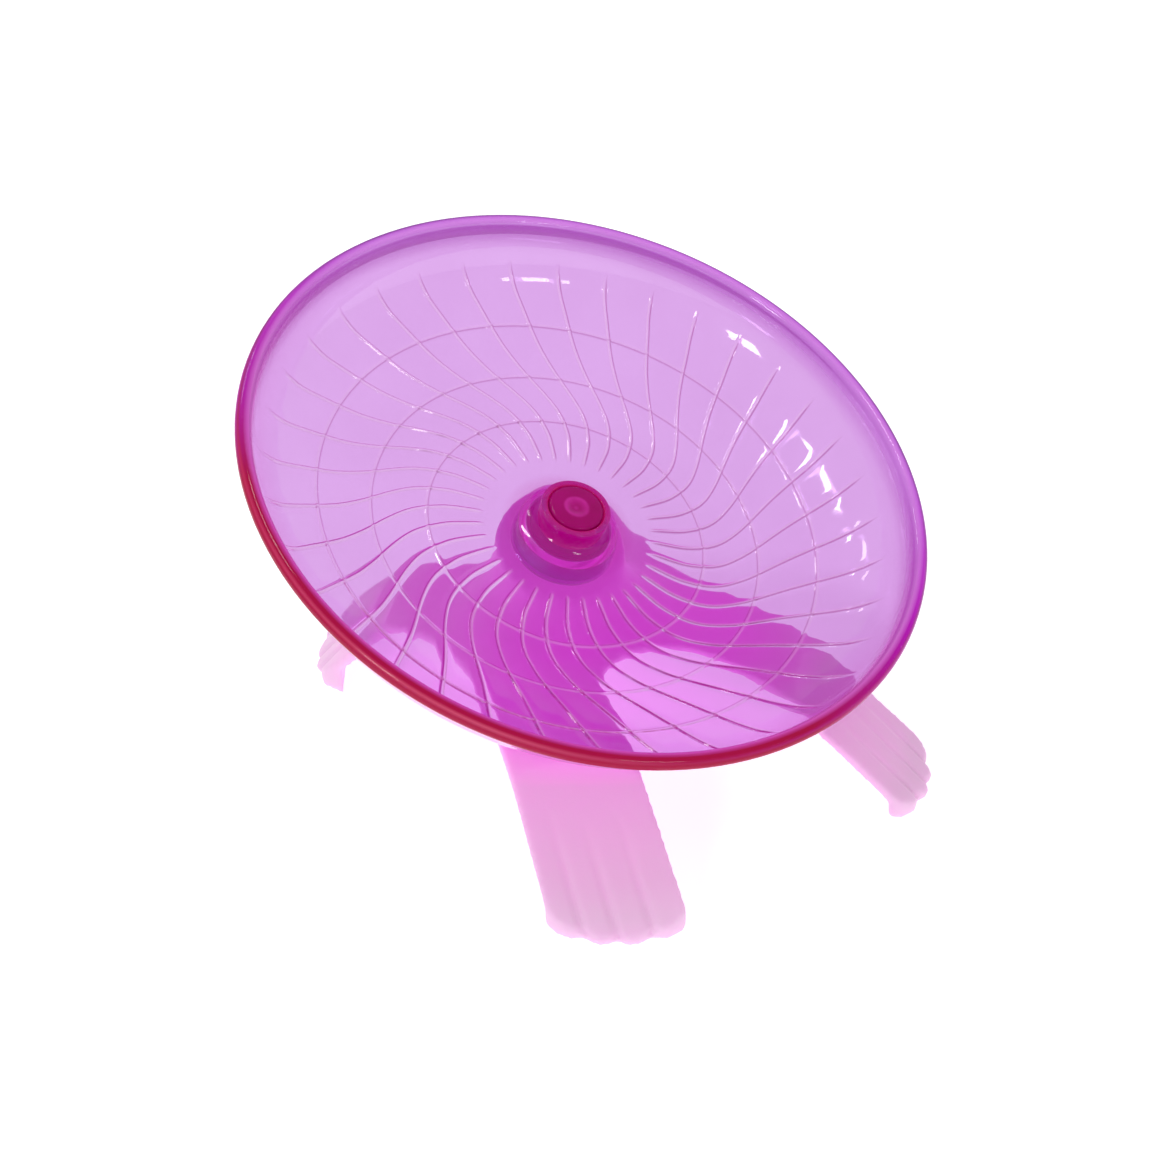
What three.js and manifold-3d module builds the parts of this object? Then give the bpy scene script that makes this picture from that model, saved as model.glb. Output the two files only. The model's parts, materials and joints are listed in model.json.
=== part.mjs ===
// A tilted running wheel for small pets: a clear round saucer that spins on a ball bearing,
// carried by a four-legged moulded stand. Lengths are in millimetres and +Z is up.
// The origin is on the ground, midway between the four feet and under the middle of the lip.
// The low side of the saucer faces -Y.
import * as THREE from 'three';
import { mergeVertices } from 'three/addons/utils/BufferGeometryUtils.js';
import Module from 'manifold-3d';

const wasm = await Module();
wasm.setup();

// How the wheel stands
const tilt = THREE.MathUtils.degToRad(27.5); // the saucer's axis leans this far to the front
const lipHeight = 78.6; // from the ground to the middle of the lip's ring

// Running clearance that every pair of neighbouring pieces keeps, and the overrun of cuts
const clearance = 0.3;
const overrun = 4;

// Saucer: a thin bowl with a rounded lip. Its heights are measured down from the lip's top.
const saucerRadius = 89.5;
const lipRadius = 2;
const saucerDepth = 30;
const saucerWall = 1.5;
// Inside of the bowl from the ribs' inner ends to the lip: share of radius, share of depth
const bowlShares = [
  [0.265, 0.983], [0.347, 0.993], [0.425, 1], [0.475, 0.993], [0.519, 0.98], [0.59, 0.937],
  [0.682, 0.84], [0.753, 0.747], [0.828, 0.64], [0.872, 0.557], [0.912, 0.43], [0.942, 0.273],
];
const firstBowlRadiusShare = bowlShares[0][0];

// Running ribs moulded on the bowl: low curved ridges that sweep round as they go out
const ribCount = 36;
const ribWidth = 1.4;
const ribHeight = 0.7;
const ribPhase = THREE.MathUtils.degToRad(6.6);
const ribSweep = THREE.MathUtils.degToRad(26.2);
const ribEndShare = 0.912;
const ribSweepShares = [
  [0.265, 0], [0.347, 0.011], [0.425, 0.099], [0.475, 0.198], [0.519, 0.321], [0.59, 0.536],
  [0.682, 0.746], [0.753, 0.847], [0.828, 0.924], [0.872, 0.962], [0.912, 1],
];

// Hub of the saucer: a waisted neck above the floor and a bearing housing below it
const collarRadius = 9.4;
const collarTop = 21.3;
const waistRadius = 8.7;
const waistLevel = 24;
const hubFootRadius = 18.5;
const hubFootLevel = 29.4;
const chamberRadius = 6.9;
const housingWall = 1.7;
const housingLip = 1;

// Hub cap: a push-in cover with a small dimple
const capRadius = 7.3;
const capThickness = 2.1;
const capProud = 0.5;
const capSkirtDepth = 2.6;
const capSkirtWall = 1.2;
const dimpleRadius = 2.6;
const dimpleDepth = 0.5;

// Ball bearing, the common eight by twenty-two by seven size
const bearingBore = 8;
const bearingOuter = 22;
const bearingWidth = 7;
const bearingLevel = 30.2; // its top face
const ballCount = 7;
const ballDiameter = 3.968;
const ballGap = 0.25;
const shoulderRise = 0.8; // how far each ring's shoulders stand over its groove
const shieldThickness = 0.3;
const shieldInset = 0.15;
const cageBand = 0.5;
const cageThickness = 1.2;
const cagePocketGap = 0.25;

// Fasteners at the top of the spindle
const washerRadius = 5.6;
const washerThickness = 0.8;
const screwRadius = 1.9;
const screwHeadRadius = 3.8;
const screwHeadHeight = 2.4;
const screwLength = 12;
const screwSlotWidth = 0.9;
const screwSlotDepth = 1.1;

// Spindle: a steel pin with a flange, pressed into the stand
const spindleFlangeRadius = 6;
const spindleTailLength = 17;

// Stand: an oblique moulded dome cut into four legs, with a boss square to the saucer's axis
const bossRadius = 17.7;
const bossRound = 1.2;
const bossGap = 1.3; // between the bearing housing and the boss
const bossRise = 16.8; // from the dome's flat top to the middle of the boss's top
const bossFootRadius = 35;
const standWall = 2.6;
const rimWallShare = 1.4; // the wall is this much thicker at the dome's rim, measured level
const socketWall = 3;
const domeEdge = 1; // height of the dome's upright edge
const domePower = 2;
const domeTopRadius = 40; // of its flat top
const domeForward = 1; // the dome's base circle lies this far in front of the origin
const apexSetback = 28.6; // and its apex this far behind the origin

// Legs in plan: each runs from beside the apex to a toe of four lobes, whose line is turned
// outward. A foot's place is the middle of the line through its toe's two corners.
const frontFootSide = 46.8;
const frontFootReach = 71;
const frontLegSpread = 14.5;
const frontToeTurn = THREE.MathUtils.degToRad(18.5);
const frontSlope = THREE.MathUtils.degToRad(31); // of the leg's top near its toe
const frontKneeHalfWidth = 14.8;
const rearFootSide = 42.6;
const rearFootReach = 69.4;
const rearLegSpread = 8;
const rearToeTurn = THREE.MathUtils.degToRad(17.5);
const rearSlope = THREE.MathUtils.degToRad(50);
const rearKneeOuterHalfWidth = 24;
const rearKneeInnerHalfWidth = 15;
const kneeShare = 0.5;
const toeHalfWidth = 16;
const toeReach = 5; // how far the middle toes reach past the corners
const toeTipHeight = 2.5;
const toeLobes = 4;
const lobeRise = 3.2;
const soleDepth = 7.5; // how far each toe's solid sole reaches in from its tips
// How far each web's curve follows the legs' edges inward: a share of the gap between knees
const frontWebShare = 0.5;
const sideWebShare = 0.3;
const rearWebShare = 0.6;

// Colours and finishes
const clearViolet = new THREE.MeshStandardMaterial({ color: 0xd29be6, roughness: 0.08, metalness: 0 });
const frostedPink = new THREE.MeshStandardMaterial({ color: 0xe6a6dc, roughness: 0.45, metalness: 0 });
const deepMagenta = new THREE.MeshStandardMaterial({ color: 0x9c0058, roughness: 0.2, metalness: 0 });
const polishedSteel = new THREE.MeshStandardMaterial({ color: 0xc9ccd2, roughness: 0.15, metalness: 1 });
const zincSteel = new THREE.MeshStandardMaterial({ color: 0xb9bcc0, roughness: 0.35, metalness: 1 });
const whiteNylon = new THREE.MeshStandardMaterial({ color: 0xe9e6da, roughness: 0.5, metalness: 0 });

// A closed surface from its corners: shared corners merged, slivers dropped, faces pointing out
function closedSurface(geometry) {
  geometry.deleteAttribute('normal');
  geometry.deleteAttribute('uv');
  const merged = mergeVertices(geometry);
  const index = merged.index.array;
  const corners = merged.attributes.position;
  const kept = [];
  let volume = 0;
  const a = new THREE.Vector3();
  const b = new THREE.Vector3();
  const c = new THREE.Vector3();
  for (let i = 0; i < index.length; i += 3) {
    const [p, q, r] = [index[i], index[i + 1], index[i + 2]];
    if (p === q || q === r || r === p) continue;
    kept.push(p, q, r);
    a.fromBufferAttribute(corners, p);
    b.fromBufferAttribute(corners, q);
    c.fromBufferAttribute(corners, r);
    volume += a.dot(b.cross(c));
  }
  if (volume < 0) kept.reverse();
  merged.setIndex(kept);
  return merged;
}

// A turned piece: a profile of [radius, height] pairs, open at the axis or closed on itself
function turned(profile, segments) {
  const points = profile.map(([radius, height]) => new THREE.Vector2(radius, height));
  const geometry = new THREE.LatheGeometry(points, segments);
  geometry.rotateX(Math.PI / 2);
  return closedSurface(geometry);
}

// The same with the profile's last point joined to its first, for a piece with a hole
function turnedRing(profile, segments) {
  return turned([...profile, profile[0]], segments);
}

function toSolid(geometry) {
  const mesh = new wasm.Mesh({
    numProp: 3,
    vertProperties: new Float32Array(geometry.attributes.position.array),
    triVerts: new Uint32Array(geometry.index.array),
  });
  return new wasm.Manifold(mesh);
}

function toGeometry(solid) {
  const mesh = solid.getMesh();
  const geometry = new THREE.BufferGeometry();
  geometry.setAttribute('position', new THREE.BufferAttribute(new Float32Array(mesh.vertProperties), 3));
  geometry.setIndex(new THREE.BufferAttribute(new Uint32Array(mesh.triVerts), 1));
  return geometry;
}

function piece(name, geometry, material) {
  const mesh = new THREE.Mesh(geometry, material);
  mesh.name = name;
  return mesh;
}

// Linear look-up in a table of [at, value] pairs
function lookUp(table, at) {
  if (at <= table[0][0]) return table[0][1];
  for (let i = 1; i < table.length; i += 1) {
    const [x0, y0] = table[i - 1];
    const [x1, y1] = table[i];
    if (at <= x1) return y0 + ((y1 - y0) * (at - x0)) / (x1 - x0);
  }
  return table[table.length - 1][1];
}

// Levels along the saucer's axis, negative below the top of the lip
const bearingTop = -bearingLevel;
const bearingBottom = bearingTop - bearingWidth;
const housingRadius = bearingOuter / 2 + clearance + housingWall;
const housingBottom = bearingBottom - housingLip;
const bossTop = housingBottom - bossGap;
const capRecessFloor = -collarTop + capProud - capThickness - clearance;

// Saucer
const hubColumns = 30;
const ribColumns = ribCount * 3;
const lipColumns = 60;

// Angle by which the ribs have swept round at a radius
function sweepAt(radius) {
  return ribPhase + ribSweep * lookUp(ribSweepShares, radius / saucerRadius);
}

// One ring of corners round the axis, as { columns, corners }
function plainRing(radius, height, columns) {
  const corners = [];
  for (let i = 0; i < columns; i += 1) {
    const angle = sweepAt(radius) + (2 * Math.PI * i) / columns;
    corners.push([radius * Math.cos(angle), radius * Math.sin(angle), height]);
  }
  return corners;
}

// A ring that crosses the ribs: each rib takes three corners, its two sides and its crest
function ribbedRing(radius, height, crest) {
  const corners = [];
  const halfAngle = ribWidth / 2 / radius;
  for (let i = 0; i < ribCount; i += 1) {
    for (const side of [-1, 0, 1]) {
      const angle = sweepAt(radius) + (2 * Math.PI * i) / ribCount + side * halfAngle;
      const rise = side === 0 ? crest : 0;
      corners.push([radius * Math.cos(angle), radius * Math.sin(angle), height + rise]);
    }
  }
  return corners;
}

// Triangles between two rings, which may have different numbers of corners
function stitch(ringA, startA, ringB, startB, triangles) {
  const [countA, countB] = [ringA.length, ringB.length];
  let [i, j] = [0, 0];
  while (i < countA || j < countB) {
    const a = startA + (i % countA);
    const b = startB + (j % countB);
    if (j >= countB || (i < countA && (i + 0.5) / countA <= (j + 0.5) / countB)) {
      triangles.push(a, startA + ((i + 1) % countA), b);
      i += 1;
    } else {
      triangles.push(a, startB + ((j + 1) % countB), b);
      j += 1;
    }
  }
}

// A closed surface through rings that follow one another round a section and meet again
function lofted(rings) {
  const corners = [];
  const starts = [];
  for (const ring of rings) {
    starts.push(corners.length);
    corners.push(...ring);
  }
  const triangles = [];
  rings.forEach((ring, k) => {
    const next = (k + 1) % rings.length;
    stitch(ring, starts[k], rings[next], starts[next], triangles);
  });
  const geometry = new THREE.BufferGeometry();
  geometry.setAttribute('position', new THREE.Float32BufferAttribute(corners.flat(), 3));
  geometry.setIndex(triangles);
  return closedSurface(geometry);
}

function saucerGeometry() {
  const rings = [];
  const chamberFloor = bearingTop + clearance;
  const seatRadius = bearingOuter / 2 + clearance;
  const recessRadius = capRadius + clearance;
  const underside = -hubFootLevel - saucerWall;
  // Up the inside of the hub, over the collar and down its neck to the floor
  const hubProfile = [
    [housingRadius, underside],
    [housingRadius, housingBottom],
    [seatRadius, housingBottom],
    [seatRadius, chamberFloor],
    [chamberRadius, chamberFloor],
    [chamberRadius, capRecessFloor],
    [recessRadius, capRecessFloor],
    [recessRadius, -collarTop],
    [collarRadius, -collarTop],
    [collarRadius, -collarTop - (waistLevel - collarTop) / 2],
    [waistRadius, -waistLevel],
  ];
  for (const [radius, level] of hubProfile) {
    rings.push(plainRing(radius, level, hubColumns));
  }
  // The neck flares into the floor as a quarter ellipse
  const flareSteps = 5;
  for (let i = 1; i <= flareSteps; i += 1) {
    const turn = (Math.PI / 2) * (i / flareSteps);
    const radius = waistRadius + (hubFootRadius - waistRadius) * (1 - Math.cos(turn));
    const level = -waistLevel - (hubFootLevel - waistLevel) * Math.sin(turn);
    rings.push(plainRing(radius, level, hubColumns));
  }
  // Out over the ribbed bowl
  for (const [radiusShare, depthShare] of bowlShares) {
    const radius = saucerRadius * radiusShare;
    const level = -saucerDepth * depthShare;
    const isRibbed = radiusShare > firstBowlRadiusShare && radiusShare < ribEndShare;
    if (radiusShare <= ribEndShare) rings.push(ribbedRing(radius, level, isRibbed ? ribHeight : 0));
    else rings.push(plainRing(radius, level, lipColumns));
  }
  // Round the lip, from its inner side over the top to its underside
  const lipCentre = saucerRadius - lipRadius;
  const lipSteps = 8;
  const lipStart = THREE.MathUtils.degToRad(200);
  const lipTurn = THREE.MathUtils.degToRad(270);
  for (let i = 0; i <= lipSteps; i += 1) {
    const turn = lipStart - lipTurn * (i / lipSteps);
    const radius = lipCentre + lipRadius * Math.cos(turn);
    const level = -lipRadius + lipRadius * Math.sin(turn);
    rings.push(plainRing(radius, level, lipColumns));
  }
  // Back to the hub along the underside, one wall's thickness from the bowl
  for (let i = bowlShares.length - 2; i >= 0; i -= 1) {
    const [before, here, after] = [bowlShares[Math.max(i - 1, 0)], bowlShares[i], bowlShares[i + 1]];
    const run = (after[0] - before[0]) * saucerRadius;
    const rise = (before[1] - after[1]) * saucerDepth;
    const length = Math.hypot(run, rise);
    const radius = here[0] * saucerRadius + (saucerWall * rise) / length;
    const level = -here[1] * saucerDepth - (saucerWall * run) / length;
    rings.push(plainRing(radius, level, lipColumns));
  }
  return lofted(rings);
}

// Hub cap: a disc with a dimple on top and a skirt that pushes into the hub
function hubCapGeometry() {
  const top = -collarTop + capProud;
  const bottom = top - capThickness;
  const skirtRadius = chamberRadius - clearance;
  const edge = capThickness / 4;
  const profile = [
    [0, top - dimpleDepth],
    [dimpleRadius / 2, top - dimpleDepth * 0.8],
    [dimpleRadius, top],
    [capRadius - edge, top],
    [capRadius - edge / 3, top - edge / 3],
    [capRadius, top - edge],
    [capRadius, bottom],
    [skirtRadius, bottom],
    [skirtRadius, bottom - capSkirtDepth],
    [skirtRadius - capSkirtWall, bottom - capSkirtDepth],
    [skirtRadius - capSkirtWall, bottom],
    [0, bottom],
  ];
  return turned(profile, hubColumns);
}

// Bearing rings: each is a ring with a round groove for the balls
const ballRadius = ballDiameter / 2;
const pitchRadius = (bearingBore + bearingOuter) / 4;
const grooveRadius = ballRadius + ballGap;
const bearingMiddle = bearingTop - bearingWidth / 2;
const innerShoulder = pitchRadius - grooveRadius + shoulderRise;
const outerShoulder = pitchRadius + grooveRadius - shoulderRise;
const grooveHalfWidth = Math.sqrt(grooveRadius ** 2 - (grooveRadius - shoulderRise) ** 2);
const shieldRecess = shieldInset + shieldThickness + clearance;
const shieldOuterRadius = outerShoulder + shoulderRise / 2;

// Corners of a ball groove, from its upper edge to its lower one; side is -1 inner, +1 outer
function groove(side) {
  const corners = [];
  const steps = 4;
  const halfTurn = Math.asin(grooveHalfWidth / grooveRadius);
  for (let i = 0; i <= steps; i += 1) {
    const turn = halfTurn - (2 * halfTurn * i) / steps;
    const radius = pitchRadius + side * grooveRadius * Math.cos(turn);
    corners.push([radius, bearingMiddle + grooveRadius * Math.sin(turn)]);
  }
  return corners;
}

const ringSegments = 28;

function innerRingGeometry() {
  const profile = [
    [bearingBore / 2, bearingBottom],
    [bearingBore / 2, bearingTop],
    [innerShoulder, bearingTop],
    ...groove(-1),
    [innerShoulder, bearingBottom],
  ];
  return turnedRing(profile, ringSegments);
}

function outerRingGeometry() {
  const recessRadius = shieldOuterRadius + clearance;
  const profile = [
    [bearingOuter / 2, bearingBottom],
    [bearingOuter / 2, bearingTop],
    [recessRadius, bearingTop],
    [recessRadius, bearingTop - shieldRecess],
    [outerShoulder, bearingTop - shieldRecess],
    ...groove(1),
    [outerShoulder, bearingBottom + shieldRecess],
    [recessRadius, bearingBottom + shieldRecess],
    [recessRadius, bearingBottom],
  ];
  return turnedRing(profile, ringSegments);
}

// A thin washer-shaped cover over the balls, let into the outer ring
function shieldGeometry(top) {
  const bore = innerShoulder + clearance;
  const profile = [
    [bore, top],
    [shieldOuterRadius, top],
    [shieldOuterRadius, top - shieldThickness],
    [bore, top - shieldThickness],
  ];
  return turnedRing(profile, ringSegments);
}

// Cage: a crown ring over the balls with a finger between each pair
function cageGeometry() {
  const top = bearingTop - shieldInset - shieldThickness - clearance;
  const pocketRadius = ballRadius + cagePocketGap;
  const bottom = bearingMiddle - pocketRadius / 2;
  const profile = [
    [pitchRadius - cageThickness / 2, bottom],
    [pitchRadius - cageThickness / 2, top],
    [pitchRadius + cageThickness / 2, top],
    [pitchRadius + cageThickness / 2, bottom],
  ];
  let cage = toSolid(turnedRing(profile, ballCount * 6));
  const pocketTop = Math.min(bearingMiddle + pocketRadius, top - cageBand);
  for (let i = 0; i < ballCount; i += 1) {
    const angle = (2 * Math.PI * i) / ballCount;
    const pocket = new THREE.CylinderGeometry(pocketRadius, pocketRadius, 2 * pitchRadius, 10);
    pocket.rotateZ(Math.PI / 2);
    pocket.translate(pitchRadius, 0, pocketTop - pocketRadius);
    pocket.rotateZ(angle);
    cage = cage.subtract(toSolid(closedSurface(pocket)));
  }
  return toGeometry(cage);
}

// Spindle: shank through the bearing, flange under it, tail in the stand's socket
const spindleRadius = bearingBore / 2 - clearance;
const flangeTop = bearingBottom - clearance;
const flangeBottom = bossTop + clearance;

function spindleGeometry() {
  const top = bearingTop - clearance;
  const tailEnd = flangeBottom - spindleTailLength;
  const holeRadius = screwRadius + clearance;
  const holeFloor = top - screwLength - clearance;
  const chamfer = spindleRadius / 8;
  const profile = [
    [0, tailEnd],
    [spindleRadius - chamfer, tailEnd],
    [spindleRadius, tailEnd + chamfer],
    [spindleRadius, flangeBottom],
    [spindleFlangeRadius, flangeBottom],
    [spindleFlangeRadius, flangeTop],
    [spindleRadius, flangeTop],
    [spindleRadius, top],
    [holeRadius, top],
    [holeRadius, holeFloor],
    [0, holeFloor - holeRadius / 2],
  ];
  return turned(profile, 24);
}

const washerBottom = bearingTop + clearance;

function washerGeometry() {
  const top = washerBottom + washerThickness;
  const bore = screwRadius + clearance;
  return turnedRing([[bore, washerBottom], [bore, top], [washerRadius, top], [washerRadius, washerBottom]], 28);
}

// Screw with a domed head and one straight slot
function screwGeometry() {
  const headBottom = washerBottom + washerThickness + clearance;
  const headTop = headBottom + screwHeadHeight;
  const tip = bearingTop - screwLength;
  const profile = [
    [0, tip],
    [screwRadius / 2, tip],
    [screwRadius, tip + screwRadius / 2],
    [screwRadius, headBottom],
    [screwHeadRadius, headBottom],
    [screwHeadRadius, headBottom + screwHeadHeight / 3],
    [screwHeadRadius * 0.85, headTop - screwHeadHeight / 4],
    [screwHeadRadius / 2, headTop - screwHeadHeight / 16],
    [0, headTop],
  ];
  const slot = new THREE.BoxGeometry(2 * screwHeadRadius + overrun, screwSlotWidth, 2 * screwSlotDepth);
  slot.translate(0, 0, headTop);
  return toGeometry(toSolid(turned(profile, 20)).subtract(toSolid(closedSurface(slot))));
}

// Stand: sizes that follow from the saucer's place and from the feet
const bossDrop = lipRadius + bossTop;
const domeHeight = lipHeight + bossDrop * Math.cos(tilt) - bossRise;
const domeRadius = Math.hypot(frontFootSide, frontFootReach) + toeReach + lobeRise;
const domeFlatShare = domeTopRadius / domeRadius;

// Slides each level ring of a turned geometry back towards the apex as its radius shrinks
function slidBack(geometry) {
  const corners = geometry.attributes.position;
  for (let i = 0; i < corners.count; i += 1) {
    const share = Math.hypot(corners.getX(i), corners.getY(i)) / domeRadius;
    corners.setY(i, corners.getY(i) + apexSetback * (1 - share) - domeForward * share);
  }
  return geometry;
}

function obliqueDome(baseRadius, edge, height, floor) {
  const steps = 8;
  const profile = [[0, height]];
  for (let i = 0; i <= steps; i += 1) {
    const share = domeFlatShare + (1 - domeFlatShare) * (i / steps);
    const fall = ((share - domeFlatShare) / (1 - domeFlatShare)) ** domePower;
    profile.push([baseRadius * share, edge + (height - edge) * (1 - fall)]);
  }
  profile.push([baseRadius, floor]);
  profile.push([0, floor]);
  return toSolid(slidBack(turned(profile, 48)));
}

// The boss that carries the spindle: its top is square to the saucer's axis, and its flank
// flares down and turns level as it meets the dome
function bossSolid(inset) {
  const steps = 6;
  const columns = 36;
  const drop = bossDrop - inset;
  const top = new THREE.Vector3(0, -drop * Math.sin(tilt), lipHeight + drop * Math.cos(tilt));
  const footCentre = apexSetback * (1 - domeFlatShare) - domeForward * domeFlatShare;
  const foot = new THREE.Vector3(0, footCentre, domeHeight - inset);
  const ringAt = (centre, radius, lean, sink) => {
    const ring = [];
    for (let i = 0; i < columns; i += 1) {
      const angle = (2 * Math.PI * i) / columns;
      const [x, y] = [radius * Math.cos(angle), radius * Math.sin(angle)];
      ring.push([centre.x + x, centre.y + y * Math.cos(lean), centre.z + y * Math.sin(lean) - sink]);
    }
    return ring;
  };
  const rings = [ringAt(top, 0, 0, 0)];
  const edge = inset === 0 ? bossRound : 0;
  if (edge > 0) rings.push(ringAt(top, bossRadius - edge, tilt, 0));
  for (let i = 0; i <= steps; i += 1) {
    const turn = (Math.PI / 2) * (i / steps);
    const down = Math.sin(turn);
    const out = 1 - Math.cos(turn);
    const centre = top.clone().lerp(foot, down);
    const radius = bossRadius + (bossFootRadius - bossRadius) * out - inset;
    const sink = i === 0 ? edge : 0;
    rings.push(ringAt(centre, radius, tilt * (1 - down), sink));
  }
  rings.push(ringAt(foot, bossFootRadius - inset, 0, standWall / 2));
  rings.push(ringAt(foot, 0, 0, standWall / 2));
  return toSolid(lofted(rings));
}

// Leans and lifts a geometry from the saucer's frame to the stand's
function inSaucerFrame(geometry) {
  const copy = geometry.clone();
  copy.translate(0, 0, lipRadius);
  copy.rotateX(tilt);
  copy.translate(0, 0, lipHeight);
  return copy;
}

// A leg in plan: its centre line, and the turned line of its toe. Going round the stand
// anticlockwise, its knee's edges come in the order of the two half widths.
function planLeg(spread, footX, footY, toeTurn, slope, kneeHalfWidths) {
  const apex = new THREE.Vector2(spread, apexSetback);
  const foot = new THREE.Vector2(footX, footY);
  const along = foot.clone().sub(apex).normalize();
  const across = new THREE.Vector2(-along.y, along.x);
  const knee = apex.clone().lerp(foot, kneeShare);
  const toeAlong = along.clone().rotateAround(new THREE.Vector2(), toeTurn);
  const toeAcross = new THREE.Vector2(-toeAlong.y, toeAlong.x);
  const firstKnee = knee.clone().addScaledVector(across, -kneeHalfWidths[0]);
  const secondKnee = knee.clone().addScaledVector(across, kneeHalfWidths[1]);
  return { foot, along, toeAlong, toeAcross, slope, firstKnee, secondKnee };
}

function frontLeg(side) {
  const widths = [frontKneeHalfWidth, frontKneeHalfWidth];
  const turn = side * frontToeTurn;
  return planLeg(side * frontLegSpread, side * frontFootSide, -frontFootReach, turn, frontSlope, widths);
}

function rearLeg(side) {
  const widths = [rearKneeOuterHalfWidth, rearKneeInnerHalfWidth];
  if (side < 0) widths.reverse();
  const turn = -side * rearToeTurn;
  return planLeg(side * rearLegSpread, side * rearFootSide, rearFootReach, turn, rearSlope, widths);
}

// A point of a toe, from its distance past the toe's corners and its offset from the middle
function onToe(leg, distance, offset) {
  return leg.foot.clone().addScaledVector(leg.toeAlong, distance).addScaledVector(leg.toeAcross, offset);
}

// How far the toes' line has bowed out past the corners at an offset from its middle
function toeBow(offset) {
  return toeReach * (1 - (offset / toeHalfWidth) ** 2);
}

// The outline of the four legs in plan, anticlockwise, with scalloped toes
function legsOutline(legs) {
  const webShares = [sideWebShare, rearWebShare, sideWebShare, frontWebShare];
  const shape = new THREE.Shape();
  shape.moveTo(legs[0].firstKnee.x, legs[0].firstKnee.y);
  legs.forEach((leg, k) => {
    const first = onToe(leg, 0, -toeHalfWidth);
    shape.lineTo(first.x, first.y);
    for (let lobe = 1; lobe <= toeLobes; lobe += 1) {
      const to = -toeHalfWidth + (2 * toeHalfWidth * lobe) / toeLobes;
      const middle = to - toeHalfWidth / toeLobes;
      const end = onToe(leg, toeBow(to), to);
      const pull = onToe(leg, toeBow(middle) + lobeRise, middle);
      shape.quadraticCurveTo(pull.x, pull.y, end.x, end.y);
    }
    const knee = leg.secondKnee;
    shape.lineTo(knee.x, knee.y);
    const next = legs[(k + 1) % legs.length];
    const nextKnee = next.firstKnee;
    const reach = knee.distanceTo(nextKnee) * webShares[k];
    const leave = knee.clone().addScaledVector(leg.along, -reach);
    const arrive = nextKnee.clone().addScaledVector(next.along, -reach);
    shape.bezierCurveTo(leave.x, leave.y, arrive.x, arrive.y, nextKnee.x, nextKnee.y);
  });
  return shape;
}

// Sets a box over a leg's toe: its near bottom edge lies along the tips, sunk and sloped
function overToe(leg, box, sink, slope) {
  const tip = onToe(leg, toeReach, 0);
  box.rotateX(-slope);
  box.rotateZ(Math.atan2(leg.toeAlong.y, leg.toeAlong.x) - Math.PI / 2);
  box.translate(tip.x, tip.y, toeTipHeight - sink);
  return toSolid(closedSurface(box));
}

// What a leg's sloping top leaves out: everything over a plane that climbs from its toe
function aboveToe(leg, sink) {
  const box = new THREE.BoxGeometry(4 * toeHalfWidth, 2 * lipHeight, lipHeight);
  box.translate(0, 0, lipHeight / 2);
  return overToe(leg, box, sink / Math.cos(leg.slope), leg.slope);
}

// The space of a toe's solid sole
function soleSpace(leg) {
  const box = new THREE.BoxGeometry(4 * toeHalfWidth, 2 * soleDepth, 2 * lipHeight);
  return overToe(leg, box, 0, 0);
}

function standGeometry() {
  const legs = [frontLeg(1), rearLeg(1), rearLeg(-1), frontLeg(-1)];
  const outline = new THREE.ExtrudeGeometry(legsOutline(legs), {
    depth: lipHeight, bevelEnabled: false, curveSegments: 4,
  });
  const prism = toSolid(closedSurface(outline));
  let outer = obliqueDome(domeRadius, domeEdge, domeHeight, 0);
  const innerRadius = domeRadius - standWall * rimWallShare;
  let inner = obliqueDome(innerRadius, 0, domeHeight - standWall, -overrun);
  for (const leg of legs) {
    outer = outer.subtract(aboveToe(leg, 0));
    inner = inner.subtract(aboveToe(leg, standWall));
  }
  const hollow = inner.add(bossSolid(standWall));
  let shell = outer.add(bossSolid(0)).intersect(prism).subtract(hollow);
  for (const leg of legs) {
    shell = shell.add(outer.intersect(prism).intersect(soleSpace(leg)));
  }
  const socketRadius = spindleRadius + clearance;
  const socketBottom = flangeBottom - spindleTailLength - clearance;
  const socket = toSolid(inSaucerFrame(turnedRing([
    [socketRadius, socketBottom],
    [socketRadius, bossTop],
    [socketRadius + socketWall, bossTop],
    [socketRadius + socketWall, socketBottom],
  ], 24)));
  const hole = toSolid(inSaucerFrame(turned([
    [0, socketBottom - overrun],
    [socketRadius, socketBottom - overrun],
    [socketRadius, bossTop + overrun],
    [0, bossTop + overrun],
  ], 24)));
  return toGeometry(shell.add(socket).subtract(hole));
}

// The whole wheel
const wheel = new THREE.Group();
wheel.add(piece('stand', standGeometry(), frostedPink));

const leaning = new THREE.Group();
leaning.position.set(0, 0, lipHeight);
leaning.rotation.x = tilt;
const onAxis = new THREE.Group();
onAxis.position.z = lipRadius;
leaning.add(onAxis);
wheel.add(leaning);

onAxis.add(piece('saucer', saucerGeometry(), clearViolet));
onAxis.add(piece('hub_cap', hubCapGeometry(), deepMagenta));
onAxis.add(piece('bearing_outer_ring', outerRingGeometry(), polishedSteel));
onAxis.add(piece('bearing_inner_ring', innerRingGeometry(), polishedSteel));
onAxis.add(piece('bearing_cage', cageGeometry(), whiteNylon));
onAxis.add(piece('bearing_shield_top', shieldGeometry(bearingTop - shieldInset), zincSteel));
const lowerShieldTop = bearingBottom + shieldInset + shieldThickness;
onAxis.add(piece('bearing_shield_bottom', shieldGeometry(lowerShieldTop), zincSteel));
for (let i = 0; i < ballCount; i += 1) {
  const angle = (2 * Math.PI * i) / ballCount;
  const sphere = closedSurface(new THREE.SphereGeometry(ballRadius, 12, 8));
  const ball = piece(`bearing_ball_${i + 1}`, sphere, polishedSteel);
  ball.position.set(pitchRadius * Math.cos(angle), pitchRadius * Math.sin(angle), bearingMiddle);
  onAxis.add(ball);
}
onAxis.add(piece('spindle', spindleGeometry(), polishedSteel));
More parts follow.
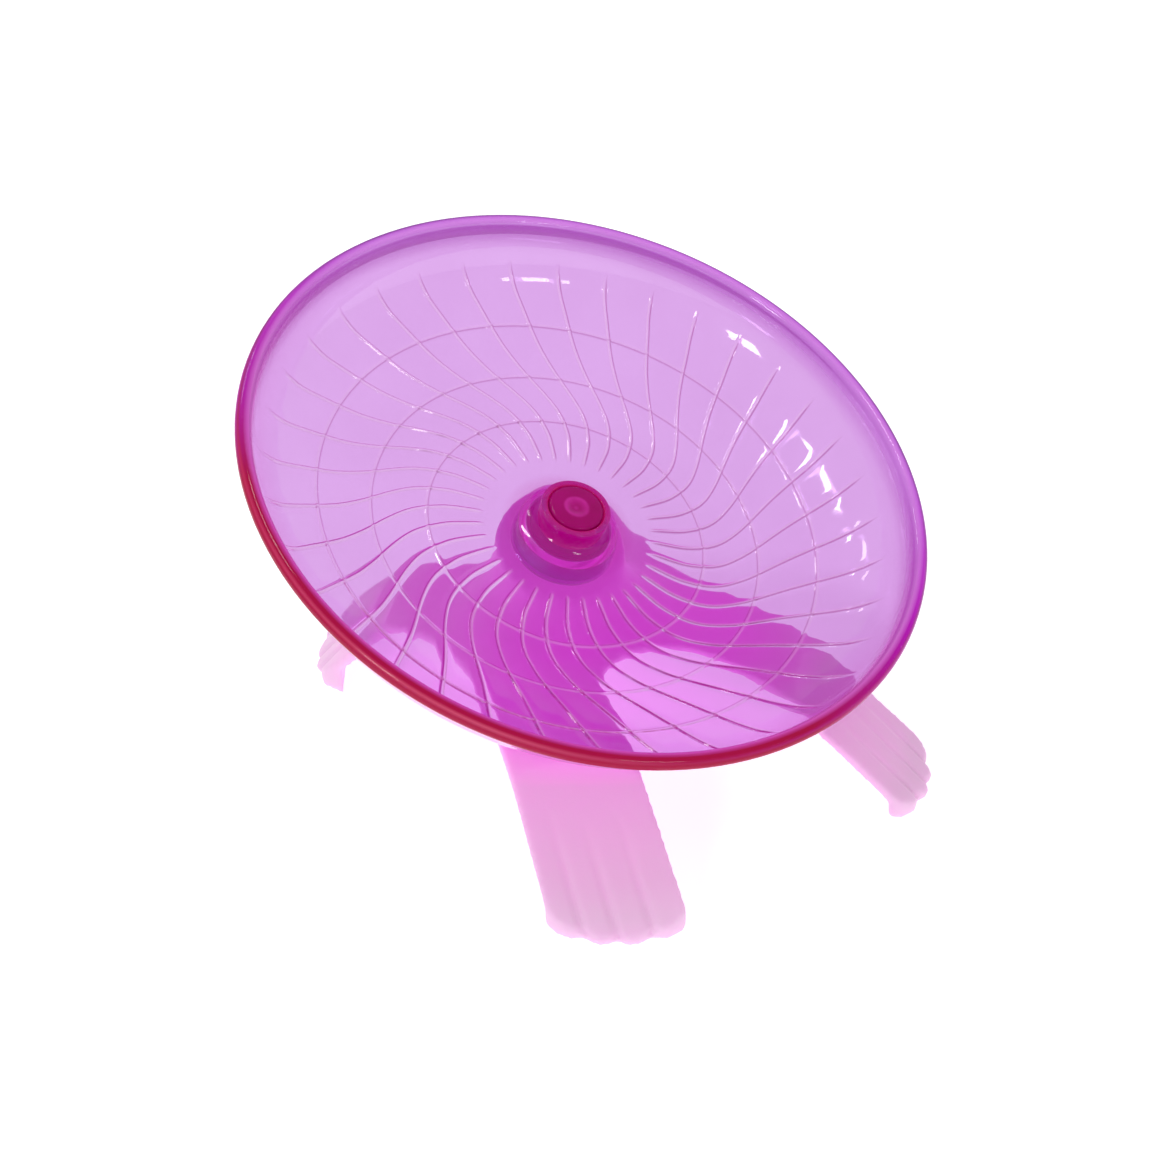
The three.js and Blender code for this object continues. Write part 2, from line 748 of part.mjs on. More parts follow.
onAxis.add(piece('retaining_washer', washerGeometry(), zincSteel));
onAxis.add(piece('retaining_screw', screwGeometry(), zincSteel));

export default wheel;
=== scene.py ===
import json
import math

import bmesh
import bpy
import numpy as np
from mathutils import Matrix, Vector


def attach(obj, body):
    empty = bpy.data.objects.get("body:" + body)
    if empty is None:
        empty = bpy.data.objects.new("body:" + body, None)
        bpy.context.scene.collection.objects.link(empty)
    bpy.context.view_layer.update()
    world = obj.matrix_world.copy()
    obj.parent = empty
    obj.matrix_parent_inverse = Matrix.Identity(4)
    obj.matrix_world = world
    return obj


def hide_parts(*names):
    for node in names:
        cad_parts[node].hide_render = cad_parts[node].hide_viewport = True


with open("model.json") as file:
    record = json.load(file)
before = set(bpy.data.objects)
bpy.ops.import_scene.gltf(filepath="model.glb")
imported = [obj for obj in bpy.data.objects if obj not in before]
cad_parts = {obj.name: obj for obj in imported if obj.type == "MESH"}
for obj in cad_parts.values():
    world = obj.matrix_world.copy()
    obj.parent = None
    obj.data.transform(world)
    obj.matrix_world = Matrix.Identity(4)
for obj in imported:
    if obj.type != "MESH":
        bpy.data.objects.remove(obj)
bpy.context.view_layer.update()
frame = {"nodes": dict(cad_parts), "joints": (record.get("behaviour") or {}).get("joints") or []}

# A tilted running wheel: a clear saucer on a ball bearing, over a low moulded stand. Named
# lengths are in millimetres and named angles in degrees, apart from the studio's places, which
# are in metres, and the tilt, which is in radians. "Leaning" places are measured from the middle
# of the lip's ring, and a level is the height there along the saucer's axis.
MM = 0.001

spin = next(joint for joint in frame["joints"] if joint["name"] == "saucer_spin")
spin_axis = Vector(spin["axis"]).normalized()
ring_middle = Vector(spin["pos_m"])
ring_height = ring_middle.z / MM
tilt = math.atan2(-spin_axis.y, spin_axis.z)
lean = Matrix.Translation(ring_middle) @ Matrix.Rotation(tilt, 4, "X")

# Saucer: the bead round its lip, which starts at an angle and turns over the outside in steps
SAUCER_RADIUS = 89.5
SAUCER_WALL = 1.5
LIP_RADIUS = 2.0
LIP_CENTRE = SAUCER_RADIUS - LIP_RADIUS
LIP_START, LIP_TURN, LIP_STEPS = 200, 270, 14
# Its bowl as radius and level, then how finely it is drawn above and below
BOWL = [
    (18.5, -27.4), (23.7, -27.5), (31.0, -27.8), (38.0, -27.95), (42.5, -27.8), (46.4, -27.4),
    (52.8, -26.1), (61.0, -23.2), (67.4, -20.4), (74.0, -17.2), (78.0, -14.7), (81.6, -10.9),
    (84.3, -6.2),
]
WALL_TOP = [(84.3, -6.2), (85.1, -3.6)]
BOWL_SAMPLES = 16
BOWL_ROWS = np.arange(19.6, 83.6, 1.5)
UNDERSIDE_STEP = 4
UNDERSIDE_CLEARANCE = 1

# Ribs: half as wide as their reach, or as their largest share of the space from rib to rib
RIB_COUNT = 36
RIB_HEIGHT = 0.5
RIB_REACH = 0.95
RIB_LARGEST_SHARE = 0.32
PLAIN_COLUMNS = 3
# How far a rib has turned at each radius, and the radii over which its two ends fade
RIB_PHASE = 6.6
RIB_SWEEP = [
    (23.7, 0.0), (30.0, 0.15), (33.0, 0.6), (36.0, 1.7), (39.1, 3.05), (41.5, 4.45), (44.0, 6.3),
    (47.0, 8.95), (50.0, 11.6), (53.6, 14.7), (57.0, 17.2), (61.0, 19.55), (65.0, 21.3),
    (68.4, 22.5), (72.0, 23.6), (76.0, 24.8), (80.0, 25.8), (82.4, 26.3),
]
SWEEP_SAMPLES = 8
RIB_START = (22.8, 24.6)
RIB_END = (79.5, 82.4)

# Ridges, with the share of a rib's painted shade and highlight lines that they show
RIDGE_RADII = (37.9, 52.8, 67.4)
RIDGE_HEIGHT = 0.26
RIDGE_REACH = 0.85
RIDGE_CLEARANCE = 0.3
RIDGE_PAINTED_LINE_SHARE = 0.6

# Across a rib or ridge: place, share of its height, how strongly it shows its painted shade
# line and how strongly its painted highlight line
BUMP = np.array([
    (-1.0, 0.0, 0.0, 0.0), (-0.62, 0.22, 0.1, 0.0), (-0.32, 0.8, 0.7, 0.0), (0.0, 1.0, 0.1, 0.15),
    (0.32, 0.8, 0.0, 0.4), (0.62, 0.22, 0.0, 0.15), (1.0, 0.0, 0.0, 0.0),
])
# Colours of the painted shade line and the painted highlight line beside each rib and ridge
LINE_PAINTED_SHADE = np.array((0.36, 0.0, 0.26))
LINE_PAINTED_HIGHLIGHT = np.array((0.95, 0.62, 0.95))
# A depth too small to see, which settles the colour where nothing deep shows
TRACE = 0.0001

# Colours of the lip's side, crest and inside, by the angle round the saucer: how deep they show,
# then red, green and blue. The thick lip's deeper colour is its own, while its change with the
# angle is painted light: crimson painted on the side towards the camera, violet on the far side.
LIP_BAND = np.array([
    (0, 0.60, 0.60, 0.12, 0.80), (100, 0.60, 0.60, 0.12, 0.80), (122, 0.85, 0.52, 0.04, 0.58),
    (148, 0.95, 0.44, 0.01, 0.36), (165, 0.97, 0.37, 0.0, 0.04), (272, 0.97, 0.37, 0.0, 0.04),
    (287, 0.95, 0.40, 0.0, 0.22), (302, 0.95, 0.46, 0.0, 0.46), (318, 0.85, 0.54, 0.04, 0.62),
    (338, 0.60, 0.60, 0.12, 0.80), (360, 0.60, 0.60, 0.12, 0.80),
])
LIP_CREST_PAINTED_LIGHT = np.array([
    (0, 0.95, 0.12, 0.0, 0.16), (120, 0.95, 0.16, 0.0, 0.18), (165, 0.95, 0.50, 0.02, 0.08),
    (220, 0.95, 0.58, 0.07, 0.14), (250, 0.95, 0.40, 0.01, 0.07), (290, 0.95, 0.40, 0.0, 0.20),
    (325, 0.95, 0.16, 0.0, 0.18), (360, 0.95, 0.12, 0.0, 0.16),
])
LIP_INSIDE = np.array([
    (0, 0.35, 0.90, 0.30, 1.0), (120, 0.35, 0.90, 0.30, 1.0), (170, 0.8, 0.68, 0.06, 0.48),
    (268, 0.8, 0.68, 0.06, 0.48), (320, 0.35, 0.90, 0.30, 1.0), (360, 0.35, 0.90, 0.30, 1.0),
])
# The radii over which the wall deepens into the lip
LIP_DEEPENS = ([84.8, 85.6, 86.4], [0, 0.2, 1])
# Round the lip's bead, from its outermost point up: where its inside begins and how soon it is
# reached, and the middle and half width of the crest's painted highlight line, with what the far
# side adds to each where the line is painted as a dark outline instead; then the angle of the far
# side, away from the camera
INSIDE_START, INSIDE_REACH = 90, 30
CREST_MIDDLE, CREST_REACH = 46, 15
FAR_MIDDLE, FAR_REACH = 16, 18
FAR_SIDE = 40
# Hub: radius and how deep it shows, then radius and its colour
HUB_DEPTH = np.array([
    (7.7, 0.95), (8.3, 0.3), (9.2, 0.3), (9.5, 0.4), (11.5, 0.35), (13.5, 0.25), (18.5, 0.0),
])
HUB_COLOURS = np.array([
    (7.7, 0.46, 0.0, 0.10), (8.5, 0.60, 0.0, 0.34), (18.5, 0.55, 0.0, 0.40),
])

# How finely turned pieces and the rounding of their corners are drawn, and the most of a side
# that one rounding takes
PIECE_SEGMENTS = 96
CORNER_STEPS = 3
CORNER_SHARE = 0.4

# Bearing
BEARING_TOP = -28.2
BEARING_WIDTH = 7.0
BEARING_BOTTOM = BEARING_TOP - BEARING_WIDTH
BEARING_MIDDLE = BEARING_TOP - BEARING_WIDTH / 2
BEARING_RADIUS = 11.0
BEARING_BORE = 4.0
PITCH_RADIUS = (BEARING_BORE + BEARING_RADIUS) / 2
BALL_RADIUS = 1.984
GROOVE_RADIUS = BALL_RADIUS + 0.25
GROOVE_HALF_ANGLE = 50
GROOVE_POINTS = 9
RECESS_REACH = 0.7
RECESS_DEPTH = 0.75
RECESS_ROUNDING = 0.1
RING_CHAMFER = 0.3
SHOULDER_CHAMFER = 0.2
SHIELD_GAP = 0.3
SHIELD_THICKNESS = 0.3
SHIELD_SET = 0.15
SHIELD_STEP = 0.06
SHIELD_EDGE = 0.02
# From the shield's bore, and from its outer edge: the width of the rim, and where the step starts
SHIELD_INNER_RIM = (0.5, 0.8)
SHIELD_OUTER_RIM = (0.25, 0.5)

# Hub
COLLAR_RADIUS = 9.4
COLLAR_TOP = -19.3
COLLAR_DEPTH = 1.4
WAIST_RADIUS = 8.7
WAIST_LEVEL = -22.0
HUB_FOOT = (18.5, -27.4)
HUB_FOOT_STEPS = 14
HUB_ROUNDING = 0.35
CHAMBER_RADIUS = 6.9
CAP_RECESS = (7.6, -21.2)
SEAT_RADIUS = 11.3
SEAT_TOP = BEARING_TOP + 0.3
# Above this level the hub shows its own colours
HUB_FLOOR = BEARING_TOP + 0.4
HOUSING_RADIUS = 13.0
HOUSING_BOTTOM = BEARING_BOTTOM - 1.0

# Cap: radius and depth of its dimpled face, inset and depth of its rounded edge, its plug, and
# the radii at which its dimple shows pale
CAP_RADIUS = 7.3
CAP_TOP = -18.8
CAP_THICKNESS = 2.1
CAP_FACE = [(0, 0.5), (0.9, 0.48), (1.7, 0.36), (2.3, 0.12), (2.8, 0.0), (3.1, 0.0), (3.7, 0.01)]
CAP_EDGE = [(1.0, 0.05), (0.45, 0.16), (0.12, 0.42), (0.0, 0.8)]
PLUG_RADII = (5.4, 6.6)
PLUG_DEPTH = 2.6
DIMPLE_SHOWS = ([0, 1.0, 2.2, 3.0, 3.6], [0.5, 0.1, 0.4, 0.7, 0])

# Stand: legs
FRONT_FOOT = (46.8, -71.0)
REAR_FOOT = (42.6, 69.4)
# How far beside the apex a leg springs, its foot in plan, how far its toes turn, its slope, and
# its half widths at the knee
FRONT_LEG = {"spread": 14.5, "foot": FRONT_FOOT, "toe_turn": 18.5, "slope": 31.0,
             "knee_halves": (14.8, 14.8)}
REAR_LEG = {"spread": 8.0, "foot": REAR_FOOT, "toe_turn": -17.5, "slope": 50.0,
            "knee_halves": (24.0, 15.0)}
KNEE = 0.5
WEB_SHARES = [0.3, 0.6, 0.3, 0.5]
WEB_STEPS = 16
TOE_HALF_WIDTH = 16.0
TOE_REACH = 5.0
TOE_TIP_HEIGHT = 2.5
TOE_LOBES = 4
LOBE_RISE = 3.2
LOBE_STEPS = 8
SOLE_DEPTH = 7.5
# The grooves between the toes, pressed only where the surface faces up
TOE_GROOVE_START = -4
TOE_GROOVE_LENGTH = 26.0
TOE_GROOVE_WIDTH = 1.0
TOE_GROOVE_DEPTH = 0.9
FACES_UP = 0.1

# Stand: dome, boss and socket
BOSS_TOP = HOUSING_BOTTOM - 1.3
BOSS_RADIUS = 17.7
BOSS_ROUND = 1.2
BOSS_ROUND_STEPS = 4
BOSS_RISE = 16.8
BOSS_STEPS = 20
BOSS_FOOT_RADIUS = 35.0
STAND_WALL = 2.6
RIM_WALL = 3.64
DOME_EDGE = 1.0
DOME_POWER = 2.0
DOME_TOP_RADIUS = 40.0
DOME_FORWARD = 1.0
DOME_STEPS = 22
DOME_INNERMOST = 0.08
DOME_INNER_SHARES = (0.2, 0.32)
DOME_RADIUS = math.hypot(*FRONT_FOOT) + TOE_REACH + LOBE_RISE
DOME_FLAT = DOME_TOP_RADIUS / DOME_RADIUS
DOME_HEIGHT = ring_height + BOSS_TOP * math.cos(tilt) - BOSS_RISE
APEX_SETBACK = 28.6
SOCKET_BORE = 4.0
SOCKET_WALL = 3.0
SOCKET_DEPTH = 17.0
SOCKET_SINK = 0.4
RING_SEGMENTS = 160
SOCKET_SEGMENTS = 64
# How far the shapes that cut the stand reach, always past its surface
CUTTER = 80
DOME_FLOOR = -0.01
HOLLOW_FLOOR = -4.01
OUTLINE_LEVELS = (-5, 90)
BORE_OVERRUN = 2
# The size of the moulded stand's even faces, and how strongly and how often its edges are eased
STAND_VOXEL = 0.8
EASE_FACTOR = 0.5
EASE_PASSES = 5

# Studio: the white of the surroundings and of the floor's own light
AMBIENT = 0.58
FLOOR_HALF = 4.0
FLOOR_DROP = 0.0004
LIT_POINT = (0, 0, 0.05)
# Name, place in metres, width and depth, watts
SOFTBOXES = [
    ("top_softbox", (-0.16, 0.14, 1.27), (0.34, 0.09), 2.4),
    ("left_softbox", (-1.10, -0.44, 0.60), (0.25, 0.20), 3.0),
    ("front_softbox", (0.05, -1.30, 0.58), (0.35, 0.12), 1.6),
    ("rear_softbox", (-0.12, 0.75, 1.10), (0.24, 0.10), 0.7),
]
CAMERA_LENS = 49.4
CAMERA_SENSOR = 36.0
CAMERA_RANGE = (0.01, 20.0)
CAMERA_FROM_RING = (-0.21768, -0.29461, 0.16933)
CAMERA_LOOKING = (0.5117, 0.7070, -0.4881)
CAMERA_RIGHT = (0.8085, -0.5885, -0.0050)


# Working tools
def in_scene(name, data):
    thing = bpy.data.objects.new(name, data)
    bpy.context.scene.collection.objects.link(thing)
    return thing


def mesh_from(name, bm):
    mesh = bpy.data.meshes.new(name)
    bm.to_mesh(mesh)
    bm.free()
    return mesh


def finish_piece(name, mesh, body, stands_for, sharp=35):
    """Makes a mesh in place a piece that rides on its body, smooth apart from its sharp edges."""
    for polygon in mesh.polygons:
        polygon.use_smooth = True
    mesh.set_sharp_from_angle(angle=math.radians(sharp))
    piece = in_scene(name, mesh)
    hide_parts(*stands_for)
    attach(piece, body)
    return piece


def spline(points, samples):
    """Points evenly along a smooth curve through the given ones."""
    knots = np.array([points[0], *points, points[-1]], float)
    out = []
    for k in range(1, len(knots) - 2):
        p0, p1, p2, p3 = knots[k - 1:k + 3]
        for t in np.linspace(0, 1, samples, endpoint=False):
            out.append(0.5 * (2 * p1 + (p2 - p0) * t + (2 * p0 - 5 * p1 + 4 * p2 - p3) * t**2
                              + (3 * p1 - p0 - 3 * p2 + p3) * t**3))
    out.append(knots[-1])
    return np.array(out)


def table(values, stops):
    """Each further column of the stops, looked up by its first one."""
    return np.stack([np.interp(values, stops[:, 0], column) for column in stops.T[1:]], axis=-1)


def rounded(profile, radius):
    """The profile with each corner rounded by short steps, its last corner joined to its first."""
    out = []
    count = len(profile)
    for i in range(count):
        before, here, after = (np.array(profile[(i + k) % count], float) for k in (-1, 0, 1))
        back, ahead = before - here, after - here
        cut = min(radius, CORNER_SHARE * np.linalg.norm(back),
                  CORNER_SHARE * np.linalg.norm(ahead))
        start = here + back / np.linalg.norm(back) * cut
        end = here + ahead / np.linalg.norm(ahead) * cut
        for t in np.linspace(0, 1, CORNER_STEPS + 1):
            out.append(tuple((1 - t)**2 * start + 2 * t * (1 - t) * here + t**2 * end))
    return out


def turned_mesh(name, profile, segments, closed):
    """A turned mesh about the leaning axis, from a profile of radii and levels."""
    bm = bmesh.new()
    turns = [2 * math.pi * j / segments for j in range(segments)]
    rings = []
    for radius, level in profile:
        if radius == 0:
            rings.append([bm.verts.new((0, 0, level * MM))])
        else:
            rings.append([
                bm.verts.new((radius * MM * math.cos(t), radius * MM * math.sin(t), level * MM))
                for t in turns
            ])
    pairs = list(zip(rings, rings[1:]))
    if closed:
        pairs.append((rings[-1], rings[0]))
    for low, high in pairs:
        for j in range(segments):
            k = (j + 1) % segments
            corners = [low[j % len(low)], low[k % len(low)],
                       high[k % len(high)], high[j % len(high)]]
            corners = list(dict.fromkeys(corners))
            if len(corners) > 2:
                bm.faces.new(corners)
    bmesh.ops.recalc_face_normals(bm, faces=bm.faces)
    mesh = mesh_from(name, bm)
    mesh.transform(lean)
    return mesh


def turned_piece(name, profile, body, stands_for, closed=True):
    mesh = turned_mesh(name, profile, PIECE_SEGMENTS, closed)
    return finish_piece(name, mesh, body, stands_for)


# Saucer
def hub_points():
    """Up the inside of the hub, over its collar and down the flare to its foot."""
    foot_radius, foot_level = HUB_FOOT
    recess_radius, recess_level = CAP_RECESS
    underside = foot_level - SAUCER_WALL
    hub = [
        (HOUSING_RADIUS, underside), (HOUSING_RADIUS, HOUSING_BOTTOM),
        (SEAT_RADIUS, HOUSING_BOTTOM), (SEAT_RADIUS, SEAT_TOP), (CHAMBER_RADIUS, SEAT_TOP),
        (CHAMBER_RADIUS, recess_level), (recess_radius, recess_level), (recess_radius, COLLAR_TOP),
        (COLLAR_RADIUS, COLLAR_TOP), (COLLAR_RADIUS, COLLAR_TOP - COLLAR_DEPTH),
        (WAIST_RADIUS, WAIST_LEVEL),
    ]
    # Two corners that only steer the rounding of the hub's last one and first one
    steering = [(WAIST_RADIUS + 8, WAIST_LEVEL - 20), (foot_radius + 5, underside)]
    points = rounded(hub + steering, HUB_ROUNDING)[:len(hub) * (CORNER_STEPS + 1)]
    for i in range(1, HUB_FOOT_STEPS + 1):
        turn = math.pi / 2 * i / HUB_FOOT_STEPS
        points.append((WAIST_RADIUS + (foot_radius - WAIST_RADIUS) * (1 - math.cos(turn)),
                       WAIST_LEVEL + (foot_level - WAIST_LEVEL) * math.sin(turn)))
    return points


def bowl_rows(bowl):
    """Rows out over the bowl, closer together where they cross a ridge."""
    on_ridges = [ridge + RIDGE_REACH * place for ridge in RIDGE_RADII for place in BUMP[:, 0]]
    apart = RIDGE_REACH + RIDGE_CLEARANCE
    between = [radius for radius in BOWL_ROWS
               if min(abs(radius - ridge) for ridge in RIDGE_RADII) > apart]
    rows = []
    for radius in sorted(between + on_ridges):
        level = np.interp(radius, bowl[:, 0], bowl[:, 1])
        nearest = min(RIDGE_RADII, key=lambda ridge: abs(radius - ridge))
        # A ridge's painted shade and highlight lines, at the share that ridges show
        rise, dark, pale = table((radius - nearest) / RIDGE_REACH, BUMP)
        fade = np.interp(radius, [*RIB_START, *RIB_END], [0, 1, 1, 0])
        rows.append((radius, level + RIDGE_HEIGHT * rise, fade,
                     dark * RIDGE_PAINTED_LINE_SHARE, pale * RIDGE_PAINTED_LINE_SHARE))
    return rows


def lip_points():
    turns = [math.radians(LIP_START - LIP_TURN * i / LIP_STEPS) for i in range(LIP_STEPS + 1)]
    return [(LIP_CENTRE + LIP_RADIUS * math.cos(turn), LIP_RADIUS * math.sin(turn))
            for turn in turns]


def underside_points(bowl):
    """Back in under the bowl, a wall's thickness away from it."""
    slope = np.gradient(bowl, axis=0)
    length = np.linalg.norm(slope, axis=1)
    outer = np.c_[bowl[:, 0] + SAUCER_WALL * slope[:, 1] / length,
                  bowl[:, 1] - SAUCER_WALL * slope[:, 0] / length]
    return [place for place in outer[::-UNDERSIDE_STEP]
            if place[0] > HUB_FOOT[0] + UNDERSIDE_CLEARANCE]


def plain_rows(points):
    """Rows that carry no rib and no painted shade or highlight line."""
    return [(radius, level, 0.0, 0.0, 0.0) for radius, level in points]


def saucer_rows():
    """Rows round the saucer's closed section: radius, level, share of rib height, painted shade,
    painted highlight.
    """
    bowl = spline(BOWL, BOWL_SAMPLES)
    rim = [*WALL_TOP, *lip_points(), *underside_points(bowl)]
    return plain_rows(hub_points()) + bowl_rows(bowl) + plain_rows(rim)


def saucer_grid():
    """Corners of the saucer, row by row, with its columns following the sweep of the ribs."""
    height, dark, pale = np.vstack([BUMP[:, 1:], np.zeros((PLAIN_COLUMNS, 3))]).T
    sweep = spline(RIB_SWEEP, SWEEP_SAMPLES)
    pitch = 2 * math.pi / RIB_COUNT
    vertices, lines = [], []
    for radius, level, fade, row_painted_shade, row_painted_highlight in saucer_rows():
        half = min(RIB_REACH / radius, RIB_LARGEST_SHARE * pitch)
        gap = (pitch - 2 * half) / (PLAIN_COLUMNS + 1)
        offsets = np.r_[BUMP[:, 0] * half, half + gap * np.arange(1, PLAIN_COLUMNS + 1)]
        levels = level + height * RIB_HEIGHT * fade
        # How strongly each corner shows the painted shade line and the painted highlight line
        painted_lines = np.c_[np.maximum(dark * fade, row_painted_shade), np.maximum(pale * fade, row_painted_highlight)]
        turn = math.radians(RIB_PHASE + np.interp(radius, sweep[:, 0], sweep[:, 1]))
        for i in range(RIB_COUNT):
            for angle, place in zip(turn + pitch * i + offsets, levels):
                vertices.append((radius * math.cos(angle), radius * math.sin(angle), place))
            lines.extend(painted_lines)
    return vertices, np.array(lines), RIB_COUNT * len(height)


def grid_faces(rows, columns):
    """Faces of a grid that closes on itself both ways."""
    faces = []
    for i in range(rows):
        here, there = i * columns, (i + 1) % rows * columns
        for j in range(columns):
            k = (j + 1) % columns
            faces.append((there + j, there + k, here + k, here + j))
    return faces


def mark_depth(mesh, vertices, lines):
    """Stores how deep a colour each corner shows, and which: lip and hub, with painted light on
    the lip by its angle round the saucer, and painted shade and highlight lines.
    """
    x, y, level = np.array(vertices).T
    radius = np.hypot(x, y)
    angle = np.degrees(np.arctan2(y, x)) % 360
    round_lip = np.degrees(np.arctan2(level, radius - LIP_CENTRE))
    # The lip's colours by its angle round the saucer: painted light, crimson towards the camera
    # and violet away from it
    look, crest, inside = (table(angle, stops) for stops in (LIP_BAND, LIP_CREST_PAINTED_LIGHT, LIP_INSIDE))
    inward = np.clip((np.abs(round_lip) - INSIDE_START) / INSIDE_REACH, 0, 1)[:, None]
    # On the far side the crest's painted highlight line is painted as a dark outline, shifted and
    # wider
    far = np.clip(2 * np.cos(np.radians(angle - FAR_SIDE)), 0, 1)
    from_crest = np.abs(round_lip - CREST_MIDDLE - FAR_MIDDLE * far)
    on_crest = np.clip(1 - from_crest / (CREST_REACH + FAR_REACH * far), 0, 1)[:, None]
    look += (inside - look) * inward
    look += (crest - look) * on_crest
    look[:, 0] *= np.interp(radius, *LIP_DEEPENS)
    on_hub = (radius < HUB_FOOT[0]) & (level > HUB_FLOOR)
    look[on_hub] = np.c_[table(radius[on_hub], HUB_DEPTH), table(radius[on_hub], HUB_COLOURS)]
    depth = np.c_[look[:, 0], lines]
    # The colours of the painted shade and highlight lines
    dark, pale = (np.tile(colour, (len(x), 1)) for colour in (LINE_PAINTED_SHADE, LINE_PAINTED_HIGHLIGHT))
    colours = np.stack([look[:, 1:], dark, pale], axis=1)
    share = (depth + TRACE) / (depth + TRACE).sum(axis=1, keepdims=True)
    tint = np.c_[(colours * share[:, :, None]).sum(axis=1), np.ones(len(x))]
    deep_and_painted_colour = mesh.attributes.new("deep_and_painted_colour", "FLOAT_COLOR", "POINT")
    deep_and_painted_colour.data.foreach_set("color", tint.ravel())
    mesh.attributes.new("depth", "FLOAT", "POINT").data.foreach_set("value", depth.max(axis=1))


def make_saucer():
    vertices, lines, columns = saucer_grid()
    mesh = bpy.data.meshes.new("clear_saucer")
    placed = [lean @ Vector([MM * c for c in vertex]) for vertex in vertices]
    mesh.from_pydata(placed, [], grid_faces(len(vertices) // columns, columns))
    mesh.validate()
    mark_depth(mesh, vertices, lines)
    return finish_piece("clear_saucer", mesh, "saucer_body", ["saucer"],
                        sharp=50)


def make_cap():
    inner, outer = PLUG_RADII
    bottom = CAP_TOP - CAP_THICKNESS
    plug_bottom = bottom - PLUG_DEPTH
    profile = [(radius, CAP_TOP - depth) for radius, depth in CAP_FACE]
    profile += [(CAP_RADIUS - inset, CAP_TOP - depth) for inset, depth in CAP_EDGE]
    profile += [(CAP_RADIUS, bottom), (outer, bottom), (outer, plug_bottom), (inner, plug_bottom),
                (inner, bottom), (0, bottom)]
    cap = turned_piece("dimpled_hub_cap", profile, "saucer_body",
                       ["hub_cap"], closed=False)
    to_leaning = lean.inverted()
    from_axis = [(to_leaning @ corner.co).xy.length / MM for corner in cap.data.vertices]
    dimple = cap.data.attributes.new("dimple", "FLOAT", "POINT")
    dimple.data.foreach_set("value", np.interp(from_axis, *DIMPLE_SHOWS))
    return cap


saucer = make_saucer()
hub_cap = make_cap()


# Bearing
def groove(side):
    """Section of a ball groove, top to bottom, in the outer ring (side 1) or the inner (-1)."""
    half = math.radians(GROOVE_HALF_ANGLE)
    return [(PITCH_RADIUS + side * GROOVE_RADIUS * math.cos(t),
             BEARING_MIDDLE + GROOVE_RADIUS * math.sin(t))
            for t in np.linspace(half, -half, GROOVE_POINTS)]


outer_shoulder = groove(1)[0][0]
inner_shoulder = groove(-1)[0][0]
recess_radius = outer_shoulder + RECESS_REACH


def make_outer_ring():
    recess_top, recess_bottom = BEARING_TOP - RECESS_DEPTH, BEARING_BOTTOM + RECESS_DEPTH
    upper = rounded([
        (BEARING_RADIUS, BEARING_BOTTOM), (BEARING_RADIUS, BEARING_TOP),
        (recess_radius, BEARING_TOP), (recess_radius, recess_top), (outer_shoulder, recess_top),
    ], RING_CHAMFER)
    lower = rounded([
        (outer_shoulder, recess_bottom), (recess_radius, recess_bottom),
        (recess_radius, BEARING_BOTTOM),
    ], RECESS_ROUNDING)
    return turned_piece("ground_outer_ring", upper + groove(1) + lower, "saucer_body",
                        ["bearing_outer_ring"])


def make_inner_ring():
    return turned_piece("ground_inner_ring", [
        (BEARING_BORE, BEARING_BOTTOM + RING_CHAMFER), (BEARING_BORE, BEARING_TOP - RING_CHAMFER),
        (BEARING_BORE + RING_CHAMFER, BEARING_TOP),
        (inner_shoulder - SHOULDER_CHAMFER, BEARING_TOP),
        (inner_shoulder, BEARING_TOP - SHOULDER_CHAMFER), *groove(-1),
        (inner_shoulder, BEARING_BOTTOM + SHOULDER_CHAMFER),
        (inner_shoulder - SHOULDER_CHAMFER, BEARING_BOTTOM),
        (BEARING_BORE + RING_CHAMFER, BEARING_BOTTOM),
    ], "stand_body", ["bearing_inner_ring"])


def make_shield(name, top, node):
    """A pressed steel shield with a shallow step between its rims."""
    bore = inner_shoulder + SHIELD_GAP
    rim = recess_radius - SHIELD_GAP
    bottom, step = top - SHIELD_THICKNESS, top - SHIELD_STEP
    inner_rim, step_start = SHIELD_INNER_RIM
    outer_rim, step_end = SHIELD_OUTER_RIM
    profile = [(bore, top), (bore + inner_rim, top), (bore + step_start, step),
               (rim - step_end, step), (rim - outer_rim, top), (rim, top - SHIELD_EDGE),
               (rim, bottom), (bore, bottom)]
    return turned_piece(name, profile, "saucer_body", [node])


outer_ring = make_outer_ring()
inner_ring = make_inner_ring()
top_shield = make_shield("pressed_top_shield", BEARING_TOP - SHIELD_SET, "bearing_shield_top")
bottom_shield = make_shield("pressed_bottom_shield",
                            BEARING_BOTTOM + SHIELD_SET + SHIELD_THICKNESS,
                            "bearing_shield_bottom")


# Stand
def dome_centre(share):
    """How far back a level ring of the dome sits, for its share of the base radius."""
    return APEX_SETBACK * (1 - share) - DOME_FORWARD * share


def solid_from_rings(name, rings):
    """A closed solid through rings of points in millimetres, capped at both ends."""
    bm = bmesh.new()
    made = [[bm.verts.new(Vector(p) * MM) for p in ring] for ring in rings]
    for low, high in zip(made, made[1:]):
        count = len(low)
        for j in range(count):
            bm.faces.new((low[j], low[(j + 1) % count], high[(j + 1) % count], high[j]))
    bm.faces.new(made[0])
    bm.faces.new(made[-1])
    bmesh.ops.recalc_face_normals(bm, faces=bm.faces)
    return in_scene(name, mesh_from(name, bm))


def ring_of_points(radius, centre_y, height, slant=0.0):
    """A ring about a point over the stand's middle line, tipped up at the back by the slant."""
    ring = []
    for j in range(RING_SEGMENTS):
        angle = 2 * math.pi * j / RING_SEGMENTS
        x, y = radius * math.cos(angle), radius * math.sin(angle)
        ring.append((x, centre_y + y * math.cos(slant), height + y * math.sin(slant)))
    return ring


